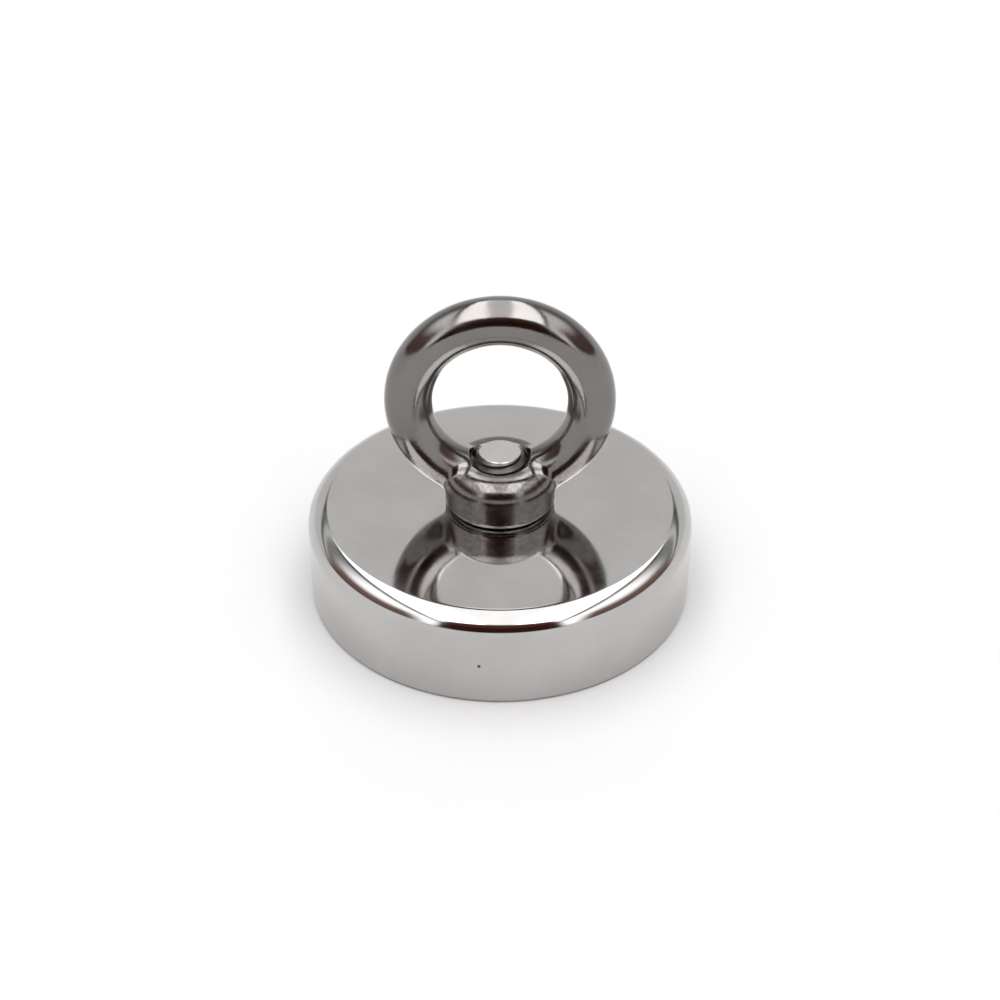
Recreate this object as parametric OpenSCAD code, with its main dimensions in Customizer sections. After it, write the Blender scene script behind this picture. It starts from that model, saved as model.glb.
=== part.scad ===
// Single-sided pot magnet with a screwed-on eye, thrown on a rope to lift steel out of water.
// The origin is the centre of the holding face, +Z runs up the bolt, and the eye opens along Y.
// All sizes are in millimetres.

/* [Pot] */
// Outside diameter of the steel pot
pot_d = 75; // [62:1:97]
// Height of the pot, from its holding face to its flat top
pot_h = 19; // [15.5:0.5:26]
// Thickness of the pot's side wall
pot_wall = 6; // [4:0.5:8]
// Thickness of the plate that closes the pot's top
pot_floor = 8; // [6:0.5:9]
// Radius of the pot's rounded top edge
pot_edge_r = 4; // [1:0.5:5]
// Radius of the pot's rounded edge at the holding face
pot_rim_r = 0.8; // [0.2:0.1:1.5]

/* [Magnet and its potting] */
// How far the magnet's face sits above the holding face
magnet_recess = 0.4; // [0.1:0.1:1]
// Bevel on the magnet's four edges
magnet_bevel = 0.6; // [0.2:0.1:1]
// Width of the resin between the magnet and the pot's wall
outer_resin_w = 1.5; // [0.8:0.1:2.5]
// Width of the resin between the magnet and the steel core
inner_resin_w = 1.5; // [0.8:0.1:2.5]
// How far the resin's face sits above the holding face
resin_recess = 0.6; // [0.2:0.1:1.2]
// Thickness of the glue layer between the magnet and the pot's plate
bond_t = 0.3; // [0.1:0.1:0.6]
// Diameter of the steel core that carries the bolt's head
core_d = 24; // [22:0.5:30]

/* [Bolt] */
// Thread diameter of the bolt
bolt_d = 10; // [8:1:12]
// Diameter of the bolt's countersunk head
head_d = 20; // [17:0.5:21]
// Height of the short straight edge round the head
head_land = 0.5; // [0.2:0.1:0.8]
// How far the head's face sits above the holding face
head_recess = 0.3; // [0.1:0.1:0.8]
// Width across the flats of the hex socket in the head
socket_flats = 6; // [4:0.5:7]
// Depth of the hex socket
socket_depth = 3.8; // [2.5:0.1:4]
// How far the bolt's tip stands above the eye nut's collar
tip_proud = 1.5; // [0.5:0.1:4]
// Bevel round the bolt's tip
tip_bevel = 1.1; // [0.4:0.1:1.5]

/* [Eye nut] */
// Diameter of the round bar that the ring is made of
bar_d = 9; // [7:0.5:11]
// Width of the ring's opening
eye_bore_d = 25.4; // [22:0.2:32]
// Diameter of the collar under the ring
collar_d = 21.2; // [18:0.2:28]
// Gap between the collar's seat and the lowest point of the ring's bar
bar_above_seat = 1.1; // [0.4:0.1:4]
// How far the ring's bar stands above the flat top of the collar
saddle_rise = 0.2; // [0.1:0.1:1]
// Radius of the collar's top edge
collar_top_r = 4; // [0.4:0.2:4]
// Radius of the collar's bottom edge
collar_seat_r = 1.4; // [0.4:0.2:2]
// Width of the bevel at both mouths of the nut's thread
thread_mouth = 0.8; // [0.3:0.1:1.2]

/* [Clearances] */
// Gap round the bolt inside the eye nut's thread
thread_gap = 0.05; // [0.02:0.01:0.09]
// Gap round the bolt inside the pot and the core
shank_gap = 0.25; // [0.15:0.05:0.4]
// Gap between the bolt's head and its countersunk seat
seat_gap = 0.06; // [0.03:0.01:0.1]

/* [Hidden] */
$fn = 128;
HEX = 6;                 // sides of the bolt's socket
CUT = 1;                 // how far a cutting shape runs past the face that it cuts

bore_depth = pot_h - pot_floor;
bore_r = pot_d / 2 - pot_wall;
magnet_r = bore_r - outer_resin_w;
core_r = core_d / 2;
magnet_hole_r = core_r + inner_resin_w;
magnet_top = bore_depth - bond_t;
shank_hole_r = bolt_d / 2 + shank_gap;

head_cone_h = (head_d - bolt_d) / 2;
collar_h = bar_above_seat + bar_d - saddle_rise;
ring_r = (eye_bore_d + bar_d) / 2;
ring_h = bar_above_seat + bar_d / 2 + ring_r;
tip_z = pot_h + collar_h + tip_proud;
thread_hole_r = bolt_d / 2 + thread_gap;

// Half of a disc's outline, with its top and bottom outer edges rounded.
module rounded_disc_outline(r, h, top_r, bottom_r) {
    square([r - max(top_r, bottom_r), h]);
    translate([0, bottom_r]) square([r, h - bottom_r - top_r]);
    translate([0, 0]) square([r - bottom_r, h / 2]);
    translate([0, h / 2]) square([r - top_r, h / 2]);
    translate([r - top_r, h - top_r]) circle(top_r);
    translate([r - bottom_r, bottom_r]) circle(bottom_r);
}

// A tube standing on z = bottom.
module tube(outer_r, inner_r, bottom, top) {
    translate([0, 0, bottom])
        difference() {
            cylinder(r = outer_r, h = top - bottom);
            translate([0, 0, -CUT]) cylinder(r = inner_r, h = top - bottom + 2 * CUT);
        }
}

module pot_shell() {
    color("silver")
    difference() {
        rotate_extrude() rounded_disc_outline(pot_d / 2, pot_h, pot_edge_r, pot_rim_r);
        translate([0, 0, -CUT]) cylinder(r = bore_r, h = bore_depth + CUT);
        cylinder(r = shank_hole_r, h = pot_h + CUT);
    }
}

module ring_magnet() {
    b = magnet_bevel;
    color("lightsteelblue")
    rotate_extrude()
        polygon([
            [magnet_hole_r + b, magnet_recess], [magnet_r - b, magnet_recess],
            [magnet_r, magnet_recess + b], [magnet_r, magnet_top - b],
            [magnet_r - b, magnet_top], [magnet_hole_r + b, magnet_top],
            [magnet_hole_r, magnet_top - b], [magnet_hole_r, magnet_recess + b],
        ]);
}

module magnet_bond() {
    color("darkgoldenrod") tube(magnet_r, magnet_hole_r, magnet_top, bore_depth);
}

module outer_resin_ring() {
    color("dimgray") tube(bore_r, magnet_r, resin_recess, bore_depth);
}

module inner_resin_ring() {
    color("dimgray") tube(magnet_hole_r, core_r, resin_recess, bore_depth);
}

// The steel core fills the magnet's hole and takes the pull of the bolt's head.
module centre_core() {
    land = head_recess + head_land;
    // A cone pushed back by the gap measured square to its face starts this much wider.
    cone_widening = seat_gap * sqrt(2);
    color("gainsboro")
    difference() {
        cylinder(r = core_r, h = bore_depth);
        translate([0, 0, -CUT]) cylinder(r = shank_hole_r, h = bore_depth + 2 * CUT);
        translate([0, 0, -CUT]) cylinder(r = head_d / 2 + cone_widening, h = land + CUT);
        translate([0, 0, land])
            cylinder(r1 = head_d / 2 + cone_widening, r2 = bolt_d / 2 + cone_widening, h = head_cone_h);
    }
}

module countersunk_bolt() {
    land = head_recess + head_land;
    color("lightgray")
    difference() {
        union() {
            translate([0, 0, head_recess]) cylinder(d = head_d, h = head_land);
            translate([0, 0, land]) cylinder(d1 = head_d, d2 = bolt_d, h = head_cone_h);
            translate([0, 0, land]) cylinder(d = bolt_d, h = tip_z - tip_bevel - land);
            translate([0, 0, tip_z - tip_bevel])
                cylinder(d1 = bolt_d, d2 = bolt_d - 2 * tip_bevel, h = tip_bevel);
        }
        // The socket's flats face +Y and -Y.
        translate([0, 0, head_recess - CUT])
            cylinder(d = socket_flats / cos(180 / HEX), h = socket_depth + CUT, $fn = HEX);
    }
}

module eye_nut() {
    mouth_r = thread_hole_r + thread_mouth;
    saddle_h = collar_h + saddle_rise;
    color("gray")
    translate([0, 0, pot_h])
        difference() {
            union() {
                rotate_extrude()
                    rounded_disc_outline(collar_d / 2, collar_h, collar_top_r, collar_seat_r);
                translate([0, 0, ring_h])
                    rotate([90, 0, 0])
                        rotate_extrude() translate([ring_r, 0]) circle(d = bar_d);
            }
            translate([0, 0, -CUT]) cylinder(r = thread_hole_r, h = collar_h + tip_proud + CUT);
            translate([0, 0, -thread_mouth])
                cylinder(r1 = mouth_r + thread_mouth, r2 = thread_hole_r, h = 2 * thread_mouth);
            // The upper mouth is countersunk from above, out of the ring's opening.
            rotate_extrude()
                polygon([
                    [0, saddle_h - thread_mouth], [thread_hole_r, saddle_h - thread_mouth],
                    [mouth_r, saddle_h], [mouth_r, ring_h], [0, ring_h],
                ]);
        }
}

pot_shell();
ring_magnet();
magnet_bond();
outer_resin_ring();
inner_resin_ring();
centre_core();
countersunk_bolt();
eye_nut();
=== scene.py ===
import math

import bmesh
import bpy
import numpy as np
from mathutils import Matrix, Vector


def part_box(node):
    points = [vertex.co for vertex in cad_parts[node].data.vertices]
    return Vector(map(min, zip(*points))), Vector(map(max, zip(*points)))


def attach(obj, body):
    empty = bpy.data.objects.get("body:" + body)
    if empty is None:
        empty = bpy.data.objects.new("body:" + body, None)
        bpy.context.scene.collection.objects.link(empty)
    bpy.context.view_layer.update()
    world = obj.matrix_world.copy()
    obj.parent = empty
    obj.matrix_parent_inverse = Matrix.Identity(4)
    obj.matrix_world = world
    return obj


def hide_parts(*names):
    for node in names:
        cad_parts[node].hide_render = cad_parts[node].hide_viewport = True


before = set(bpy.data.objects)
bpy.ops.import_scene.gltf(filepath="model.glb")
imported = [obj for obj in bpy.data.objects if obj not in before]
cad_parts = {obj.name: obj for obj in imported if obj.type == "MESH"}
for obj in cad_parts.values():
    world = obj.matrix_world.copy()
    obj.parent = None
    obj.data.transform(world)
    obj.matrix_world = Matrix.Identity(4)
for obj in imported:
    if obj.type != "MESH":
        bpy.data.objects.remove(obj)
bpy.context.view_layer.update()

# A pot magnet with a screwed-on lifting eye, standing on its holding face. Lengths are in metres.
MM = 0.001

# ---------------------------------------------------------------- sizes, from the frame

pot_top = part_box("pot_shell")[1].z
pot_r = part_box("pot_shell")[1].x
bore_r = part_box("outer_resin_ring")[1].x
bore_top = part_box("outer_resin_ring")[1].z
resin_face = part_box("outer_resin_ring")[0].z
magnet_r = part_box("ring_magnet")[1].x
magnet_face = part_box("ring_magnet")[0].z
magnet_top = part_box("ring_magnet")[1].z
magnet_hole_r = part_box("inner_resin_ring")[1].x
core_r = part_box("centre_core")[1].x
head_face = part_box("countersunk_bolt")[0].z
head_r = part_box("countersunk_bolt")[1].x
tip_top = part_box("countersunk_bolt")[1].z
eye_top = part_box("eye_nut")[1].z
eye_outer_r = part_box("eye_nut")[1].x
collar_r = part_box("eye_nut")[1].y

# ---------------------------------------------------------------- sizes of the details

POT_EDGE_R = 4.0 * MM
POT_RIM_R = 0.8 * MM
POT_INNER_RIM_R = 0.3 * MM
POT_CORNER_R = 0.8 * MM
POT_HOLE_R = 5.25 * MM
HOLE_BEVEL = 0.4 * MM
MAGNET_BEVEL = 0.6 * MM
MENISCUS = 0.22 * MM          # how far the resin creeps up the walls beside it
CORE_EDGE_R = 0.4 * MM
CORE_BEVEL = 0.3 * MM         # round the mouth of the bolt's seat

BOLT_R = 4.95 * MM
BOLT_ROOT_R = 4.03 * MM
THREAD_PITCH = 1.5 * MM
THREAD_START = 7.9 * MM
TIP_R = 3.9 * MM
HEAD_LAND = 0.5 * MM
HEAD_EDGE_R = 0.15 * MM
SOCKET_HALF_FLATS = 3.0 * MM
SOCKET_MOUTH_R = 3.62 * MM
SOCKET_MOUTH_DEPTH = 0.35 * MM
SOCKET_DEPTH = 3.8 * MM
SOCKET_CORNER = 0.1 * MM      # the step between the socket's wall and its floor
DRILL_POINT = 0.5 * MM        # how far the socket's floor runs to a point
SEAT_GAP = 0.085 * MM

BAR_R = 4.5 * MM
COLLAR_H = 9.9 * MM
COLLAR_TOP_R = 4.0 * MM
COLLAR_SEAT_R = 1.4 * MM
SADDLE_RISE = 0.2 * MM        # how far the ring's bar stands above the collar
FORGED_FILLET = 1.6 * MM      # how softly the ring runs into its collar
BORED_EDGE = 0.25 * MM        # how softly the bore runs out into the forging
NUT_BORE_R = 5.05 * MM
NUT_ROOT_R = 5.0 * MM
NUT_CREST_R = 4.3 * MM
NUT_MOUTH = 0.8 * MM
SLEEVE_WALL = 0.2 * MM        # the wall that backs the nut's thread

FACETS = 192                  # round a turned piece
THREAD_FACETS = 96            # round the bolt, so that its thread and its head share their corners
SAME_POINT = 1e-7             # points no further apart than this are one
SHARED_CORNER = 1e-6          # corners of two meshes no further apart than this are welded


# ---------------------------------------------------------------- node trees

class Graph:
    """Writes a node tree: a value given for an input is either a socket to link or a number to set."""

    def __init__(self, tree):
        self.tree = tree
        tree.nodes.clear()

    def node(self, kind, inputs=None, **settings):
        made = self.tree.nodes.new(kind)
        for key, value in settings.items():
            setattr(made, key, value)
        for key, value in (inputs or {}).items():
            self.put(made.inputs[key], value)
        return made

    def put(self, socket, value):
        if isinstance(value, bpy.types.NodeSocket):
            self.tree.links.new(value, socket)
        else:
            socket.default_value = value

    def math(self, operation, *values):
        return self.node("ShaderNodeMath", dict(enumerate(values)), operation=operation).outputs[0]

    def blend(self, factor, a, b):
        """A colour, factor of the way from a to b."""
        made = self.node("ShaderNodeMix", {"Factor": factor}, data_type="RGBA")
        self.put(made.inputs[6], a)
        self.put(made.inputs[7], b)
        return made.outputs[2]

    def fade(self, factor, a, b):
        """A number, factor of the way from a to b."""
        return self.node("ShaderNodeMix", {"Factor": factor, 2: a, 3: b}, data_type="FLOAT").outputs[0]

    def between(self, value, low, high, to_low=0.0, to_high=1.0):
        """value's place between low and high, eased, as a number from to_low to to_high."""
        made = self.node(
            "ShaderNodeMapRange",
            {"Value": value, "From Min": low, "From Max": high, "To Min": to_low, "To Max": to_high},
            interpolation_type="SMOOTHSTEP",
        )
        return made.outputs["Result"]


def new_tree(name, inputs):
    """An empty Geometry Nodes tree, with a geometry in and out, and the sockets of its named inputs."""
    tree = bpy.data.node_groups.new(name, "GeometryNodeTree")
    tree.interface.new_socket("Geometry", in_out="OUTPUT", socket_type="NodeSocketGeometry")
    tree.interface.new_socket("Geometry", in_out="INPUT", socket_type="NodeSocketGeometry")
    for label, kind in inputs:
        tree.interface.new_socket(label, in_out="INPUT", socket_type=kind)
    graph = Graph(tree)
    return graph, graph.node("NodeGroupInput").outputs


def end_tree(graph, geometry, material):
    """Welds the geometry's seams, gives it its material and hands the tree over."""
    seamless = graph.node("GeometryNodeMergeByDistance", {"Geometry": geometry, "Distance": SAME_POINT})
    solid = graph.node("GeometryNodeRealizeInstances", {"Geometry": seamless.outputs[0]})
    coated = graph.node("GeometryNodeSetMaterial", {"Geometry": solid.outputs[0], "Material": material})
    graph.node("NodeGroupOutput", {0: coated.outputs[0]})
    return graph.tree


def turning_tree():
    """Turns an outline once round the Z axis.

    The outline's X is its distance past the turning radius, and its Y runs down.
    """
    graph, given = new_tree("turning", [
        ("Facets", "NodeSocketInt"),
        ("Turning radius", "NodeSocketFloat"),
        ("Material", "NodeSocketMaterial"),
    ])
    outline = graph.node("GeometryNodeMeshToCurve", {"Mesh": given["Geometry"]})
    circle = graph.node(
        "GeometryNodeCurvePrimitiveCircle",
        {"Resolution": given["Facets"], "Radius": given["Turning radius"]},
    )
    swept = graph.node(
        "GeometryNodeCurveToMesh", {"Curve": circle.outputs[0], "Profile Curve": outline.outputs[0]}
    )
    return end_tree(graph, swept.outputs[0], given["Material"])


def thread_tree():
    """A screw thread as one sheet that winds up the Z axis, cut off level and bevelled at both ends.

    It starts as a flat grid. Along the grid's X the sheet winds, and its six points along Y are the middle
    of a root, the foot and head of one flank, the head and foot of the other, and the middle of the next
    root. Side is 1 for a bolt's thread and -1 for a nut's.
    """
    sizes = ("Pitch", "Origin", "Start", "End", "Root radius", "Crest radius", "End radius", "Side")
    graph, given = new_tree("thread", [
        ("Facets", "NodeSocketInt"),
        ("Turns", "NodeSocketInt"),
        *((size, "NodeSocketFloat") for size in sizes),
        ("Material", "NodeSocketMaterial"),
    ])
    steps = graph.math("MULTIPLY", given["Facets"], given["Turns"])
    sheet = graph.node(
        "GeometryNodeMeshGrid",
        {"Size X": 1.0, "Size Y": 1.0, "Vertices X": graph.math("ADD", steps, 1.0), "Vertices Y": 6},
    )
    place = graph.node(
        "ShaderNodeSeparateXYZ", {0: graph.node("GeometryNodeInputPosition").outputs[0]}
    )
    turns = graph.math("MULTIPLY", graph.math("ADD", place.outputs["X"], 0.5), given["Turns"])

    # The points on each side of the crest are a fifth of the grid apart. How far up or down the axis they
    # lie, in pitches, makes a sixty degree thread: a narrow crest, a straight flank and a wider root.
    row = 0.2
    crest_row, flank_row = 0.5 * row, 1.5 * row
    crest_rise, flank_rise, root_rise = 0.0625, 0.417, 0.5
    off_crest = graph.math("ABSOLUTE", place.outputs["Y"])
    past_crest = graph.math("SUBTRACT", off_crest, crest_row)
    past_flank = graph.math("SUBTRACT", off_crest, flank_row)
    flank = graph.math("MULTIPLY_ADD", past_crest, (flank_rise - crest_rise) / row, crest_rise)
    root = graph.math("MULTIPLY_ADD", past_flank, (root_rise - flank_rise) / row, flank_rise)
    up_or_down = graph.math("SIGN", place.outputs["Y"])
    rise = graph.math("MULTIPLY", up_or_down, graph.math("MINIMUM", flank, root))
    pitches = graph.math("ADD", turns, rise)
    height = graph.math("MULTIPLY_ADD", given["Pitch"], pitches, given["Origin"])
    height = graph.math("MINIMUM", graph.math("MAXIMUM", height, given["Start"]), given["End"])

    crest_share = graph.node(
        "ShaderNodeMapRange", {"Value": off_crest, "From Min": flank_row, "From Max": crest_row}
    ).outputs["Result"]
    depth = graph.math("SUBTRACT", given["Crest radius"], given["Root radius"])
    radius = graph.math("MULTIPLY_ADD", depth, crest_share, given["Root radius"])
    past_start = graph.math("SUBTRACT", height, given["Start"])
    before_end = graph.math("SUBTRACT", given["End"], height)
    end_gap = graph.math("MINIMUM", past_start, before_end)
    bevel = graph.math("MULTIPLY_ADD", given["End radius"], given["Side"], end_gap)
    cut = graph.math("MINIMUM", graph.math("MULTIPLY", radius, given["Side"]), bevel)
    radius = graph.math("MULTIPLY", cut, given["Side"])

    angle = graph.math("MULTIPLY", turns, math.tau)
    wound = graph.node("ShaderNodeCombineXYZ", {
        "X": graph.math("MULTIPLY", radius, graph.math("COSINE", angle)),
        "Y": graph.math("MULTIPLY", radius, graph.math("SINE", angle)),
        "Z": height,
    })
    shaped = graph.node(
        "GeometryNodeSetPosition", {"Geometry": sheet.outputs[0], "Position": wound.outputs[0]}
    )
    return end_tree(graph, shaped.outputs[0], given["Material"])


TURNING = turning_tree()
THREAD = thread_tree()


# ---------------------------------------------------------------- outlines and meshes

def placed(name, data):
    """A new object that shows data, in the scene."""
    made = bpy.data.objects.new(name, data)
    bpy.context.scene.collection.objects.link(made)
    return made


def finished_mesh(holder):
    """The mesh of an object with its modifiers applied."""
    graph = bpy.context.evaluated_depsgraph_get()
    return bpy.data.meshes.new_from_object(holder.evaluated_get(graph))


def run_tree(tree, base, values):
    """The mesh that a Geometry Nodes tree makes of base, with its named inputs set to values."""
    holder = placed("workpiece", base)
    modifier = holder.modifiers.new("shape", "NODES")
    modifier.node_group = tree
    for item in tree.interface.items_tree:
        if item.in_out == "INPUT" and item.name in values:
            modifier[item.identifier] = values[item.name]
    mesh = finished_mesh(holder)
    bpy.data.objects.remove(holder)
    return mesh


def mesh_from(shell, name):
    """The mesh of a bmesh, which is freed."""
    made = bpy.data.meshes.new(name)
    shell.to_mesh(made)
    shell.free()
    return made


def points_of(mesh):
    """The mesh's points, as an array with one row for each."""
    flat = np.zeros(len(mesh.vertices) * 3, np.float32)
    mesh.vertices.foreach_get("co", flat)
    return flat.reshape(-1, 3)


def arc(centre, radius, start, end, steps=20):
    """Points (r, z) along an arc. Angles are in degrees, 0 points outwards and 90 up."""
    angles = np.radians(np.linspace(start, end, steps + 1))
    return [(centre[0] + radius * math.cos(a), centre[1] + radius * math.sin(a)) for a in angles]


def with_guards(points, closed):
    """The outline with a point near both ends of each long straight, so that it is shaded flat between."""
    guard = 0.12 * MM
    kept = []
    count = len(points) if closed else len(points) - 1
    for n in range(count):
        a, b = np.array(points[n]), np.array(points[(n + 1) % len(points)])
        length = np.linalg.norm(b - a)
        kept.append(tuple(a))
        if length > 4 * guard:
            kept += [tuple(a + (b - a) * guard / length), tuple(b + (a - b) * guard / length)]
    return kept if closed else kept + [tuple(points[-1])]


def turned(outlines, closed, material, facets=FACETS):
    """The mesh of outlines turned round the Z axis. An outline is a list of (r, z) points."""
    turning_r = 10 * MM
    points, edges = [], []
    for outline in outlines:
        outline = with_guards(outline, closed)
        first = len(points)
        points += [(r - turning_r, -z, 0) for r, z in outline]
        edges += [(first + n, first + n + 1) for n in range(len(outline) - 1)]
        if closed:
            edges.append((len(points) - 1, first))
    base = bpy.data.meshes.new("outline")
    base.from_pydata(points, edges, [])
    values = {"Facets": facets, "Turning radius": turning_r, "Material": material}
    return run_tree(TURNING, base, values)


def threaded(material, **sizes):
    """The mesh of a thread, whose sizes are the thread tree's named inputs."""
    values = {label.replace("_", " ").capitalize(): value for label, value in sizes.items()}
    turns = math.ceil((values["End"] - values["Origin"]) / THREAD_PITCH) + 1
    values |= {"Facets": THREAD_FACETS, "Turns": turns, "Pitch": THREAD_PITCH, "Material": material}
    return run_tree(THREAD, bpy.data.meshes.new("nothing"), values)


def welded(meshes, crease=35):
    """One mesh from several that share corners, with its faces outwards and its sharp edges marked."""
    shell = bmesh.new()
    for mesh in meshes:
        shell.from_mesh(mesh)
    bmesh.ops.remove_doubles(shell, verts=shell.verts, dist=SHARED_CORNER)
    bmesh.ops.dissolve_degenerate(shell, dist=SAME_POINT, edges=shell.edges)
    bmesh.ops.recalc_face_normals(shell, faces=shell.faces)
    for face in shell.faces:
        face.material_index = 0
    made = mesh_from(shell, "shell")
    for material in meshes[0].materials:
        made.materials.append(material)
    made.shade_smooth()
    made.set_sharp_from_angle(angle=math.radians(crease))
    return made


def piece(name, mesh, node, body):
    """A finished piece that stands for a node of the frame and moves with its body."""
    mesh.name = name
    made = placed(name, mesh)
    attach(made, body)
    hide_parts(node)
    return made


# ---------------------------------------------------------------- finishes

class Finish(Graph):
    """A material that marks are laid on, one after the other. Its relief is in millimetres."""

    def __init__(self, name):
        self.material = bpy.data.materials.new(name)
        self.material.use_nodes = True
        super().__init__(self.material.node_tree)
        self.place = self.node("ShaderNodeTexCoord").outputs["Object"]
        self.relief = 0.0

    def start(self, tint, rough):
        """Sets the colour and the roughness that the marks are laid on."""
        self.tint, self.rough = tint, rough

    def noise(self, scale, **settings):
        inputs = {"Vector": self.place, "Scale": scale, **settings}
        return self.node("ShaderNodeTexNoise", inputs).outputs["Fac"]

    def height(self):
        return self.node("ShaderNodeSeparateXYZ", {0: self.place}).outputs["Z"]

    def lay(self, mask, colour=None, cover=1.0, rough=0.0, relief=0.0):
        """Lays a mark where mask is 1: a colour that covers by cover, more roughness, and a rise."""
        if colour:
            self.tint = self.blend(self.math("MULTIPLY", mask, cover), self.tint, (*colour, 1))
        if rough:
            self.rough = self.math("MULTIPLY_ADD", mask, rough, self.rough)
        if relief:
            self.relief = self.math("MULTIPLY_ADD", mask, relief, self.relief)

    def finished(self, **settings):
        """The material, with settings for the shader's own sockets."""
        bump = self.node("ShaderNodeBump", {"Height": self.relief, "Distance": MM, "Strength": 1.0})
        shader = self.node("ShaderNodeBsdfPrincipled", {
            "Base Color": self.tint, "Roughness": self.rough, "Normal": bump.outputs[0], **settings,
        })
        self.node("ShaderNodeOutputMaterial", {"Surface": shader.outputs[0]})
        return self.material


def scratches(finish, turn, length, width, amount):
    """Short fine scratches that all run one way, from 0 where there is none to 1 along a scratch."""
    wander = finish.node("ShaderNodeTexNoise", {"Vector": finish.place, "Scale": 60.0, "Detail": 1.0})
    bent = finish.node(
        "ShaderNodeVectorMath",
        {0: wander.outputs["Color"], 1: (0.004, 0.004, 0.004), 2: finish.place},
        operation="MULTIPLY_ADD",
    )
    laid = finish.node("ShaderNodeMapping", {"Vector": bent.outputs[0], "Rotation": turn})
    stretched = finish.node(
        "ShaderNodeVectorMath",
        {0: laid.outputs[0], 1: (amount / length, amount / width, amount / width)},
        operation="MULTIPLY",
    )
    spots = finish.node("ShaderNodeTexVoronoi", {"Vector": stretched.outputs[0], "Scale": 1.0})
    return finish.between(spots.outputs["Distance"], amount * 0.5, 0.0)


def pits(finish, spacing, size, share):
    """Small round pits, in a share of the cells of a loose net, from 0 outside to 1 in a pit."""
    cells = finish.node("ShaderNodeTexVoronoi", {"Vector": finish.place, "Scale": 1 / spacing})
    near = finish.between(cells.outputs["Distance"], size / spacing, 0.4 * size / spacing)
    lot = finish.node("ShaderNodeSeparateColor", {0: cells.outputs["Color"]})
    return finish.math("MULTIPLY", near, finish.math("LESS_THAN", lot.outputs[0], share))


def turning_marks(finish, spacing):
    """Fine rings round the Z axis, as a lathe or a polishing wheel leaves them."""
    flat = finish.node("ShaderNodeVectorMath", {0: finish.place, 1: (1, 1, 0)}, operation="MULTIPLY")
    reach = finish.node("ShaderNodeVectorMath", {0: flat.outputs[0]}, operation="LENGTH")
    along = finish.math("ADD", reach.outputs["Value"], finish.height())
    rings = finish.node(
        "ShaderNodeTexNoise",
        {"W": along, "Scale": 1 / spacing, "Detail": 3.0, "Roughness": 0.7},
        noise_dimensions="1D",
    )
    return rings.outputs["Fac"]


def leave_forging_skin(finish, top):
    """The dull grain of a forging, left under the plating below top."""
    low = finish.between(finish.height(), top + 3 * MM, top - 3 * MM)
    grain = finish.noise(1300.0, Detail=6.0, Roughness=0.75)
    finish.lay(finish.math("MULTIPLY", grain, low), relief=0.024)
    finish.lay(low, rough=0.02)
    hollows = finish.math("MULTIPLY", low, finish.between(grain, 0.68, 0.34, 0.0, 0.6))
    finish.lay(hollows, (0.07, 0.062, 0.058))


def chip_off(finish, centre, size):
    """One chip in the plating, of the radius size."""
    away = finish.node("ShaderNodeVectorMath", {0: finish.place, 1: centre}, operation="DISTANCE")
    chip = finish.between(away.outputs["Value"], size, 0.5 * size)
    finish.lay(chip, (0.06, 0.05, 0.045), 0.9, rough=0.4, relief=-0.06)


def rub_rim(finish, top, smear):
    """Scuffed patches below top, where the pot snaps onto steel."""
    low = finish.between(finish.height(), top, top * 0.25)
    rub = finish.math("MULTIPLY", low, finish.between(smear, 0.45, 0.6))
    finish.lay(rub, (0.42, 0.4, 0.38), 0.5, rough=0.2)


def oil_thread(finish, reach):
    """Old oil, further from the Z axis than reach and above the start of the thread."""
    place = finish.node("ShaderNodeSeparateXYZ", {0: finish.place}).outputs
    squares = (finish.math("MULTIPLY", place[axis], place[axis]) for axis in "XY")
    radius = finish.math("SQRT", finish.math("ADD", *squares))
    on_thread = finish.between(place["Z"], THREAD_START - MM, THREAD_START)
    oiled = finish.math("MULTIPLY", finish.between(radius, reach, reach + 0.12 * MM), on_thread)
    finish.lay(oiled, (0.035, 0.028, 0.024), 0.86, rough=0.22)


def plated_metal(
    name, colour, shade, gloss, haze, marks, ripple, dents=0.0,
    skin_below=None, rubbed_below=None, oil_past=None, chips=(),
):
    """Bright plating over steel.

    colour and shade are its lightest and darkest tone, gloss and haze its least and most roughness. marks
    is the depth of its turning marks, ripple that of the slow unevenness under the plating and dents that
    of the small lumps of a forging, in millimetres. The forging's grain shows below skin_below, the plating
    is scuffed below rubbed_below, and the thread is oiled further from the Z axis than oil_past. chips are
    the centres and radii of single chips.
    """
    finish = Finish(name)
    cloud = finish.noise(55.0, Detail=4.0, Roughness=0.6)
    smear = finish.noise(130.0, Detail=6.0, Roughness=0.62, Distortion=0.35)
    long_ones = scratches(finish, (0.3, 0.5, 0.9), 5 * MM, 0.06 * MM, 0.16)
    cross_ones = scratches(finish, (1.1, 0.2, -0.7), 3 * MM, 0.05 * MM, 0.14)

    finish.start(
        tint=finish.blend(finish.between(cloud, 0.3, 0.7), (*shade, 1), (*colour, 1)),
        rough=finish.between(smear, 0.25, 0.8, gloss, haze),
    )
    if marks:
        finish.lay(turning_marks(finish, 0.35 * MM), relief=marks)
    finish.lay(cloud, relief=ripple)
    finish.lay(finish.noise(2600.0, Detail=2.0), relief=0.00006)
    finish.lay(finish.math("MAXIMUM", long_ones, cross_ones), rough=0.12, relief=-0.0012)
    specks = pits(finish, 9 * MM, 0.28 * MM, 0.12)
    finish.lay(specks, (0.09, 0.075, 0.065), 0.75, rough=0.35, relief=-0.03)
    if dents:
        finish.lay(finish.noise(380.0, Detail=3.0, Roughness=0.6), relief=dents)
    if skin_below is not None:
        leave_forging_skin(finish, skin_below)
    for *centre, size in chips:
        chip_off(finish, centre, size)
    if rubbed_below is not None:
        rub_rim(finish, rubbed_below, smear)
    if oil_past is not None:
        oil_thread(finish, oil_past)
    return finish.finished(Metallic=1.0)


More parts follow.
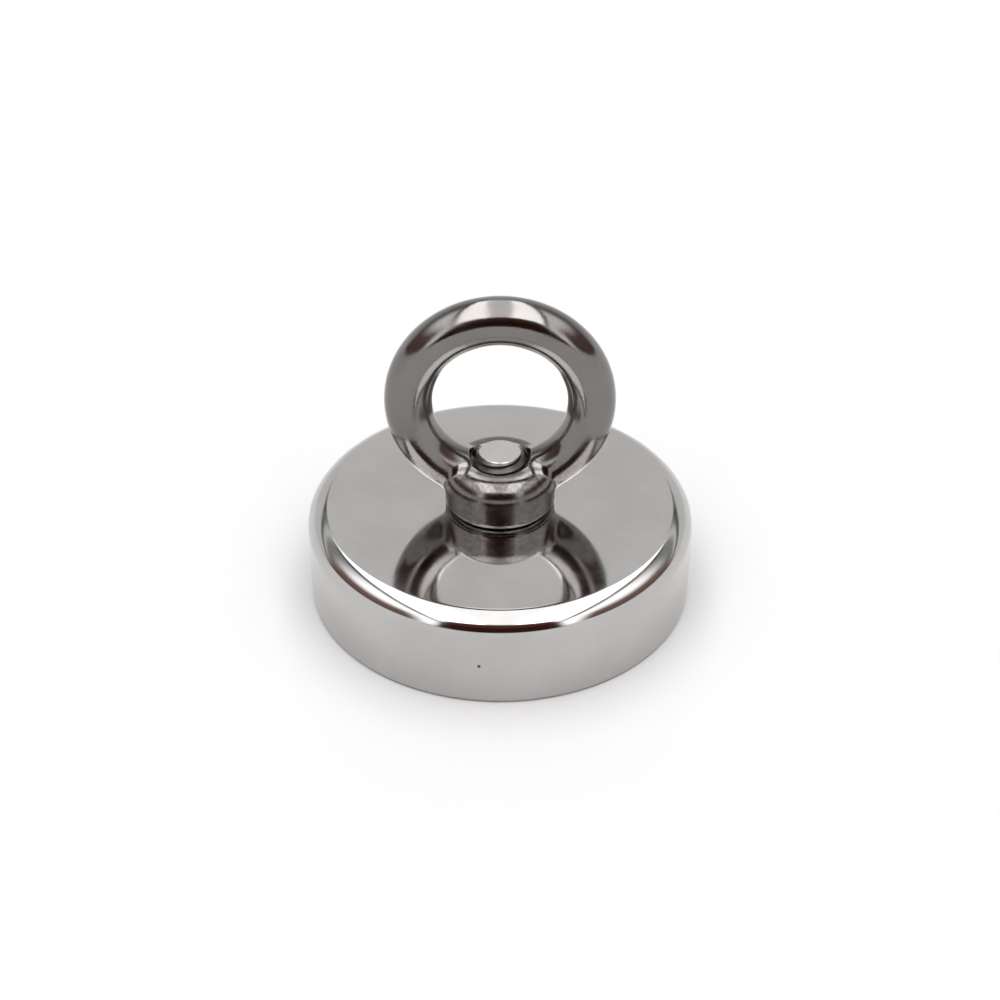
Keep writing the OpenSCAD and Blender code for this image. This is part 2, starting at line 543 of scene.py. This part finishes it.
def cast_resin(name, colour, dust):
    """Poured and cured resin: smooth but not flat, with fine dust and a few burst bubbles."""
    finish = Finish(name)
    swirl = finish.noise(240.0, Detail=4.0, Distortion=0.8)
    finish.start(
        tint=finish.blend(finish.between(swirl, 0.35, 0.7), (*colour, 1), (*dust, 1)),
        rough=finish.between(swirl, 0.3, 0.7, 0.22, 0.42),
    )
    finish.lay(swirl, relief=0.05)
    finish.lay(pits(finish, 2.6 * MM, 0.22 * MM, 0.35), relief=-0.12)
    finish.lay(pits(finish, 0.9 * MM, 0.05 * MM, 0.3), (0.32, 0.31, 0.29), 0.6)
    return finish.finished(IOR=1.55)


pot_finish = plated_metal(
    "bright_nickel_pot", (0.505, 0.498, 0.49), (0.465, 0.458, 0.45), gloss=0.045, haze=0.12, marks=0.0004,
    ripple=0.012, dents=0.0006, rubbed_below=1.2 * MM,
    chips=[(-3.8 * MM, -37.3 * MM, 8.7 * MM, 0.42 * MM)],
)
eye_finish = plated_metal(
    "dark_nickel_eye", (0.21, 0.2, 0.193), (0.172, 0.163, 0.157), gloss=0.09, haze=0.2, marks=0.0,
    ripple=0.03, dents=0.022, skin_below=pot_top + COLLAR_H + MM,
)
bolt_finish = plated_metal(
    "bright_nickel_bolt", (0.6, 0.59, 0.575), (0.55, 0.54, 0.525), gloss=0.08, haze=0.2, marks=0.0015,
    ripple=0.01, oil_past=TIP_R,
)
core_finish = plated_metal(
    "turned_nickel_core", (0.64, 0.62, 0.595), (0.58, 0.56, 0.54), gloss=0.12, haze=0.26, marks=0.006,
    ripple=0.01,
)
magnet_finish = plated_metal(
    "satin_nickel_magnet", (0.54, 0.535, 0.525), (0.49, 0.485, 0.475), gloss=0.24, haze=0.32, marks=0.0,
    ripple=0.01, dents=0.003,
)
resin_finish = cast_resin("black_potting_resin", (0.012, 0.012, 0.014), (0.022, 0.022, 0.024))
glue_finish = cast_resin("amber_bond_glue", (0.45, 0.3, 0.12), (0.55, 0.4, 0.18))


# ---------------------------------------------------------------- the pot and what it holds

def make_pot():
    edge = (pot_r - POT_EDGE_R, pot_top - POT_EDGE_R)
    corner = (bore_r - POT_CORNER_R, bore_top - POT_CORNER_R)
    inner_rim = (bore_r + POT_INNER_RIM_R, POT_INNER_RIM_R)
    rim = (pot_r - POT_RIM_R, POT_RIM_R)
    outline = [
        *arc(edge, POT_EDGE_R, 0, 90, 32),
        (POT_HOLE_R + HOLE_BEVEL, pot_top),
        (POT_HOLE_R, pot_top - HOLE_BEVEL),
        (POT_HOLE_R, bore_top),
        *arc(corner, POT_CORNER_R, 90, 0, 6),
        *arc(inner_rim, POT_INNER_RIM_R, 180, 270, 6),
        *arc(rim, POT_RIM_R, 270, 360, 12),
    ]
    mesh = welded([turned([outline], True, pot_finish)])
    return piece("polished_pot", mesh, "pot_shell", "pot")


def make_magnet():
    inner, outer = magnet_hole_r, magnet_r
    b = MAGNET_BEVEL
    outline = [
        *arc((outer - b, magnet_top - b), b, 0, 90, 6),
        *arc((inner + b, magnet_top - b), b, 90, 180, 6),
        *arc((inner + b, magnet_face + b), b, 180, 270, 8),
        *arc((outer - b, magnet_face + b), b, 270, 360, 8),
    ]
    mesh = welded([turned([outline], True, magnet_finish)])
    return piece("plated_ring_magnet", mesh, "ring_magnet", "pot")


def make_resin(name, node, inner, outer):
    """A resin ring, whose open face climbs a little up the walls on both sides."""
    width = outer - inner
    face = [
        (inner + width * t, resin_face - MENISCUS * (2 * t - 1) ** 4)
        for t in np.linspace(0, 1, 17)
    ]
    outline = [*face, (outer, bore_top), (inner, bore_top)]
    mesh = welded([turned([outline], True, resin_finish)])
    return piece(name, mesh, node, "pot")


def make_core():
    land = head_face + HEAD_LAND
    seat_r = head_r + SEAT_GAP
    outline = [
        (POT_HOLE_R, bore_top),
        (POT_HOLE_R, land + seat_r - POT_HOLE_R),
        (seat_r, land),
        (seat_r, CORE_BEVEL),
        (seat_r + CORE_BEVEL, 0),
        *arc((core_r - CORE_EDGE_R, CORE_EDGE_R), CORE_EDGE_R, 270, 360, 6),
        (core_r, bore_top),
    ]
    mesh = welded([turned([outline], True, core_finish)])
    return piece("turned_core", mesh, "centre_core", "pot")


# ---------------------------------------------------------------- the bolt

def broach_hex(mesh, half_flats, low, high):
    """Pushes the turned wall between two heights out to a hexagon with its flats facing Y."""
    points = points_of(mesh)
    x, y, z = points.T
    sixth = math.radians(60)
    off_flat = np.arctan2(y, x) % sixth - sixth / 2
    inside = (np.hypot(x, y) < half_flats * 1.01) & (z > low) & (z < high)
    points[:, :2] *= np.where(inside, 1 / np.cos(off_flat), 1)[:, None]
    mesh.vertices.foreach_set("co", points.ravel())


def make_bolt():
    land = head_face + HEAD_LAND
    floor = head_face + SOCKET_DEPTH
    floor_r = 0.94 * SOCKET_HALF_FLATS
    head_edge = (head_r - HEAD_EDGE_R, head_face + HEAD_EDGE_R)
    head = [
        (0, floor + DRILL_POINT),
        (floor_r, floor),
        (SOCKET_HALF_FLATS, floor - SOCKET_CORNER),
        (SOCKET_HALF_FLATS, head_face + SOCKET_MOUTH_DEPTH),
        (SOCKET_MOUTH_R, head_face),
        *arc(head_edge, HEAD_EDGE_R, 270, 360, 4),
        (head_r, land),
        (BOLT_R, land + head_r - BOLT_R),
        (BOLT_R, THREAD_START - (BOLT_R - BOLT_ROOT_R)),
        (BOLT_ROOT_R, THREAD_START),
    ]
    # The middle point keeps the flat end of the tip evenly shaded.
    tip = [(TIP_R, tip_top), (0.8 * TIP_R, tip_top), (0, tip_top)]
    body = turned([head, tip], False, bolt_finish, THREAD_FACETS)
    broach_hex(body, SOCKET_HALF_FLATS, low=head_face + 0.1 * MM, high=floor + MM)
    thread = threaded(
        bolt_finish, origin=THREAD_START, start=THREAD_START, end=tip_top,
        root_radius=BOLT_ROOT_R, crest_radius=BOLT_R, end_radius=TIP_R, side=1.0,
    )
    mesh = welded([body, thread], crease=25)
    return piece("threaded_bolt", mesh, "countersunk_bolt", "bolt")


# ---------------------------------------------------------------- the lifting eye

ring_r = eye_outer_r - BAR_R
ring_z = eye_top - eye_outer_r
collar_middle = pot_top + COLLAR_H / 2
nut_seat = pot_top + NUT_MOUTH
nut_mouth = pot_top + COLLAR_H + SADDLE_RISE - NUT_MOUTH


def soft_union(a, b, width):
    """The smaller of two distances, blended over width."""
    near = np.maximum(width - np.abs(a - b), 0)
    return np.minimum(a, b) - near**2 / (4 * width)


def ring_distance(across, along, up):
    """How far points are outside the ring's round bar."""
    return np.hypot(np.hypot(across, up - ring_z) - ring_r, along) - BAR_R


def collar_distance(reach, up):
    """How far points are outside the round collar, whose two edges are rounded by different radii."""
    edge_r = np.where(up > collar_middle, COLLAR_TOP_R, COLLAR_SEAT_R)
    past_side = reach - collar_r + edge_r
    past_end = np.abs(up - collar_middle) - COLLAR_H / 2 + edge_r
    outside = np.hypot(np.maximum(past_side, 0), np.maximum(past_end, 0))
    return outside + np.minimum(np.maximum(past_side, past_end), 0) - edge_r


def bore_depth(reach, up):
    """How deep points are in the drilled hole, which has a cone at both mouths and ends inside the ring."""
    top_cone = (NUT_BORE_R - reach + up - nut_mouth) / math.sqrt(2)
    top_cone = np.minimum(top_cone, NUT_BORE_R + NUT_MOUTH - reach)
    seat_cone = (NUT_BORE_R - reach + nut_seat - up) / math.sqrt(2)
    bore = np.maximum(NUT_BORE_R - reach, np.maximum(top_cone, seat_cone))
    return np.minimum(bore, ring_z - up)


def eye_distance(points):
    """How far points are outside the forged eye: a ring run softly into a round collar, and drilled."""
    x, y, z = points.T
    reach = np.hypot(x, y)
    forged = soft_union(ring_distance(x, y, z), collar_distance(reach, z), FORGED_FILLET)
    return -soft_union(-forged, -bore_depth(reach, z), BORED_EDGE)


def slope(distance, points, step=1e-6):
    """The direction in which distance grows at each point, as unit vectors."""
    moves = np.eye(3) * step
    rise = np.stack([distance(points + m) - distance(points - m) for m in moves], axis=1)
    return rise / np.maximum(np.linalg.norm(rise, axis=1, keepdims=True), 1e-12)


def add_cylinder(shell, radius, length, middle):
    """Adds an upright cylinder round the Z axis, with its middle at a height."""
    bmesh.ops.create_cone(
        shell, cap_ends=True, segments=64, radius1=radius, radius2=radius, depth=length,
        matrix=Matrix.Translation((0, 0, middle)),
    )


def add_ring(shell):
    """Adds the ring that the eye is bent into, standing upright."""
    around, across = 96, 32
    rows = []
    for a in np.linspace(0, math.tau, around, endpoint=False):
        row = []
        for b in np.linspace(0, math.tau, across, endpoint=False):
            r = ring_r + BAR_R * math.cos(b)
            place = (r * math.cos(a), BAR_R * math.sin(b), ring_z + r * math.sin(a))
            row.append(shell.verts.new(place))
        rows.append(row)
    for i in range(around):
        for j in range(across):
            following, beside = rows[(i + 1) % around], (j + 1) % across
            shell.faces.new((rows[i][j], following[j], following[beside], rows[i][beside]))


def rough_forging():
    """A ring and a collar that cut through each other, before they are fused and drilled."""
    blank = bmesh.new()
    add_ring(blank)
    add_cylinder(blank, collar_r, COLLAR_H, collar_middle)
    bmesh.ops.recalc_face_normals(blank, faces=blank.faces)
    return mesh_from(blank, "blank")


def even_blank():
    """The rough eye in small even quads, fused and with a hole drilled down its collar."""
    fused_voxel, even_voxel = 0.35 * MM, 0.3 * MM
    drill = bmesh.new()
    add_cylinder(drill, NUT_BORE_R, 4 * COLLAR_H, pot_top)
    work = placed("blank", rough_forging())
    tool = placed("drill", mesh_from(drill, "drill"))
    fuse = work.modifiers.new("fuse", "REMESH")
    fuse.mode, fuse.voxel_size = "VOXEL", fused_voxel
    bore = work.modifiers.new("bore", "BOOLEAN")
    bore.operation, bore.object, bore.solver = "DIFFERENCE", tool, "EXACT"
    even = work.modifiers.new("even", "REMESH")
    even.mode, even.voxel_size = "VOXEL", even_voxel
    made = finished_mesh(work)
    for used in (work, tool):
        bpy.data.objects.remove(used)
    return made


def forged_eye():
    """The eye's mesh, with its points drawn onto the exact surface, and the surface's own slope at each."""
    strokes = 8
    mesh = even_blank()
    points = points_of(mesh).astype(float)
    for _ in range(strokes):
        points -= eye_distance(points)[:, None] * slope(eye_distance, points)
    mesh.vertices.foreach_set("co", points.astype(np.float32).ravel())
    mesh.update()
    return mesh, slope(eye_distance, points)


def nut_thread():
    """The nut's thread with the sleeve that closes it behind, in step with the bolt's thread at rest."""
    # Half pitches, always an odd number, so that the nut's crests lie in the bolt's roots.
    half_pitches = 2 * round((nut_seat - THREAD_START) / THREAD_PITCH) - 3
    thread = threaded(
        eye_finish, origin=THREAD_START + half_pitches * THREAD_PITCH / 2, start=nut_seat, end=nut_mouth,
        root_radius=NUT_ROOT_R, crest_radius=NUT_CREST_R, end_radius=NUT_BORE_R, side=-1.0,
    )
    sleeve_r = NUT_BORE_R + SLEEVE_WALL
    wall = [
        (NUT_BORE_R, nut_mouth),
        (sleeve_r, nut_mouth),
        (sleeve_r, nut_seat),
        (NUT_BORE_R, nut_seat),
    ]
    sleeve = turned([wall], False, eye_finish, THREAD_FACETS)
    return welded([thread, sleeve], crease=25)


def make_eye():
    body, normals = forged_eye()
    joined = bmesh.new()
    joined.from_mesh(body)
    joined.from_mesh(nut_thread())
    mesh = mesh_from(joined, "eye")
    mesh.materials.append(eye_finish)
    mesh.shade_smooth()
    mesh.set_sharp_from_angle(angle=math.radians(40))
    # The thread's points come last, and a normal of zero leaves them shaded by their own faces.
    everywhere = np.zeros((len(mesh.vertices), 3))
    everywhere[:len(normals)] = normals
    mesh.normals_split_custom_set_from_vertices(everywhere.tolist())
    return piece("forged_lifting_eye", mesh, "eye_nut", "eye")


make_pot()
make_magnet()
make_resin("outer_resin", "outer_resin_ring", magnet_r, bore_r)
make_resin("inner_resin", "inner_resin_ring", core_r, magnet_hole_r)
make_core()
make_bolt()
make_eye()
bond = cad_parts["magnet_bond"]
bond.data.materials.clear()
bond.data.materials.append(glue_finish)


# ---------------------------------------------------------------- floor, studio and camera

def make_floor():
    half, sink, grey = 3.0, 0.02 * MM, 0.5
    mesh = bpy.data.meshes.new("floor")
    corners = [(-half, -half, 0), (half, -half, 0), (half, half, 0), (-half, half, 0)]
    mesh.from_pydata(corners, [], [(0, 1, 2, 3)])
    material = bpy.data.materials.new("pale_floor")
    material.use_nodes = True
    graph = Graph(material.node_tree)
    coat = {"Base Color": (grey, grey, grey, 1), "Roughness": 0.85}
    shader = graph.node("ShaderNodeBsdfPrincipled", coat)
    graph.node("ShaderNodeOutputMaterial", {"Surface": shader.outputs[0]})
    mesh.materials.append(material)
    floor = placed("floor", mesh)
    floor.location.z = -sink


def tent_ceiling(graph, across, ahead):
    """How bright the cloth is: a middle and two side panels, seams between them, and a pale back."""
    seam_place, seam_slant, seam_shade = 0.65, 0.23, 0.9
    back_light, hem_place, hem_shade = 0.84, 1.4, 0.85
    middle_panel = graph.between(across, 0.13, 0.22, 2.0, 4.6)
    side_panel = graph.between(ahead, 0.9, 0.1, 0.35, 2.2)
    past_seam = graph.math("MULTIPLY_ADD", ahead, seam_slant, graph.math("SUBTRACT", across, seam_place))
    panels = graph.fade(graph.between(past_seam, -0.02, 0.02), middle_panel, side_panel)
    seam = graph.between(graph.math("ABSOLUTE", past_seam), 0.1, 0.03)
    panels = graph.math("MULTIPLY", panels, graph.math("MULTIPLY_ADD", seam, -seam_shade, 1.0))

    light = graph.fade(graph.between(ahead, 1.05, 1.2), panels, back_light)
    hem = graph.between(graph.math("ABSOLUTE", graph.math("SUBTRACT", ahead, hem_place)), 0.16, 0.05)
    hem = graph.math("MULTIPLY", hem, graph.between(across, 0.2, 0.3, 0.0, hem_shade))
    return graph.math("MULTIPLY", light, graph.math("SUBTRACT", 1.0, hem))


def hang_curtains(graph, colour, side, y, z):
    """Dark cloth, low on both side walls, that stops short of the back."""
    curtain = graph.math("MULTIPLY", graph.between(side, 0.6, 0.76), graph.between(z, 0.7, 0.42))
    curtain = graph.math("MULTIPLY", curtain, graph.between(y, 0.5, 0.2))
    cloth = graph.blend(graph.between(z, 0.1, 0.4), (0.16, 0.1, 0.09, 1), (0.28, 0.18, 0.16, 1))
    return graph.blend(curtain, colour, cloth)


def open_front(graph, colour, side, ahead, y, z):
    """A dark room, seen through the opening in front."""
    forward = graph.math("MAXIMUM", graph.math("MULTIPLY", y, -1.0), 0.001)
    wide = graph.between(graph.math("DIVIDE", side, forward), 0.74, 0.6)
    opening = graph.math("MULTIPLY", wide, graph.between(ahead, -0.92, -1.1))
    opening = graph.math("MULTIPLY", opening, graph.between(z, 0.03, 0.05))
    room = graph.blend(graph.between(z, 0.35, 0.6), (0.05, 0.016, 0.012, 1), (0.14, 0.045, 0.033, 1))
    return graph.blend(opening, colour, room)


def make_studio():
    """A light tent, as a colour for each direction.

    across and ahead are where a direction meets the ceiling, over its height. ahead grows towards the back.
    """
    world = bpy.data.worlds.new("studio")
    bpy.context.scene.world = world
    world.use_nodes = True
    graph = Graph(world.node_tree)
    way = graph.node("ShaderNodeTexCoord").outputs["Generated"]
    x, y, z = graph.node("ShaderNodeSeparateXYZ", {0: way}).outputs
    side = graph.math("ABSOLUTE", x)
    height = graph.math("MAXIMUM", z, 0.02)
    across = graph.math("DIVIDE", side, height)
    ahead = graph.math("DIVIDE", y, height)

    light = tent_ceiling(graph, across, ahead)
    white = graph.node("ShaderNodeCombineColor", {0: light, 1: light, 2: light})
    colour = hang_curtains(graph, white.outputs[0], side, y, z)
    # The pale floor runs a little way up the walls, and lower under the opening.
    colour = graph.blend(graph.between(z, 0.15, 0.1), colour, (1.0, 1.0, 1.0, 1))
    colour = open_front(graph, colour, side, ahead, y, z)
    glow = graph.node("ShaderNodeBackground", {"Color": colour, "Strength": 1.0})
    graph.node("ShaderNodeOutputWorld", {"Surface": glow.outputs[0]})


def make_camera():
    elevation, distance, focal_length = math.radians(35.56), 337.6 * MM, 62.4
    data = bpy.data.cameras.new("camera")
    data.lens, data.sensor_width = focal_length, 36.0
    data.clip_start, data.clip_end = 0.01, 20.0
    camera = placed("camera", data)
    back = Vector((0, -math.cos(elevation), math.sin(elevation)))
    camera.location = Vector((0, 0, pot_top)) + back * distance
    camera.rotation_mode = "QUATERNION"
    camera.rotation_quaternion = (-back).to_track_quat("-Z", "Y")
    bpy.context.scene.camera = camera


make_floor()
make_studio()
make_camera()
bpy.context.scene.view_settings.view_transform = "Standard"
